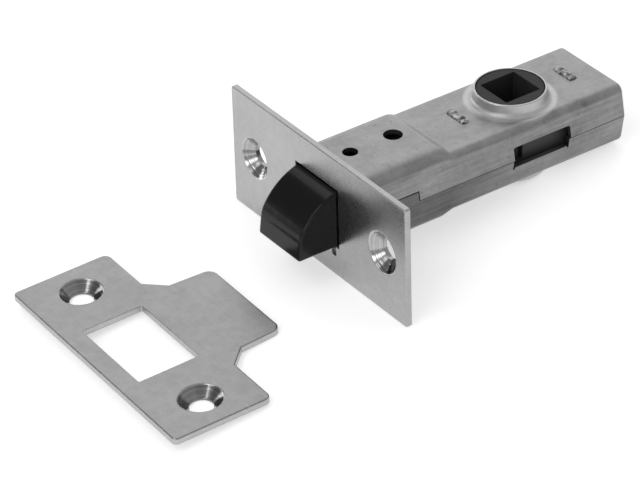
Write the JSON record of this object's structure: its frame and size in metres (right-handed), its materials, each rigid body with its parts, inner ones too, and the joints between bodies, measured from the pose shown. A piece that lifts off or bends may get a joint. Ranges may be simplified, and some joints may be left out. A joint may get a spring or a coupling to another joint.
{
  "type": "tubular door latch",
  "caption": "Tubular mortice door latch with a pressed steel case, a sprung bevelled bolt, a square spindle follower and a matching strike plate.",
  "frame": {"origin": "middle of the faceplate's front face, on the centre line of the bolt", "axes": "+X from the faceplate into the door along the bolt, +Y along the faceplate's length, +Z along the spindle axis"},
  "size_m": [0.1147, 0.0563, 0.0286],
  "materials": {
    "plate_steel": "satin plated",
    "case_steel": "bright zinc plated",
    "spacer_steel": "plain, staked ends",
    "bolt_nylon": "gloss moulded",
    "inner_nylon": "moulded",
    "follower_nylon": "fine grained",
    "spring_steel": "drawn wire"
  },
  "bodies": {
    "case": {"case_upper_shell": "case_steel", "case_lower_shell": "case_steel", "faceplate": "plate_steel", "front_spacer": "spacer_steel", "rear_spacer": "spacer_steel", "strike_plate": "plate_steel", "bolt_spring": "spring_steel"},
    "follower": {"follower": "follower_nylon"},
    "retractor": {"retractor": "inner_nylon"},
    "bolt": {"latch_bolt": "bolt_nylon"}
  },
  "joints": [
    {"name": "retractor_slide", "type": "slide", "parent": "case", "child": "retractor", "axis": [1, 0, 0], "range_m": [0, 0.0085], "stiffness_N_per_m": 200, "springref_m": -0.006},
    {"name": "follower_turn", "type": "hinge", "parent": "case", "child": "follower", "pos_m": [0.0445, 0, 0], "axis": [0, 0, 1], "range_deg": [0, 62.1]},
    {"name": "bolt_push", "type": "slide", "parent": "retractor", "child": "bolt", "axis": [1, 0, 0], "range_m": [0, 0.0085], "stiffness_N_per_m": 200, "springref_m": -0.006, "deforming": ["bolt_spring"]}
  ],
  "couplings": [
    {"joint": "follower_turn", "follows": "retractor_slide", "rad_per_m": 127.31}
  ]
}
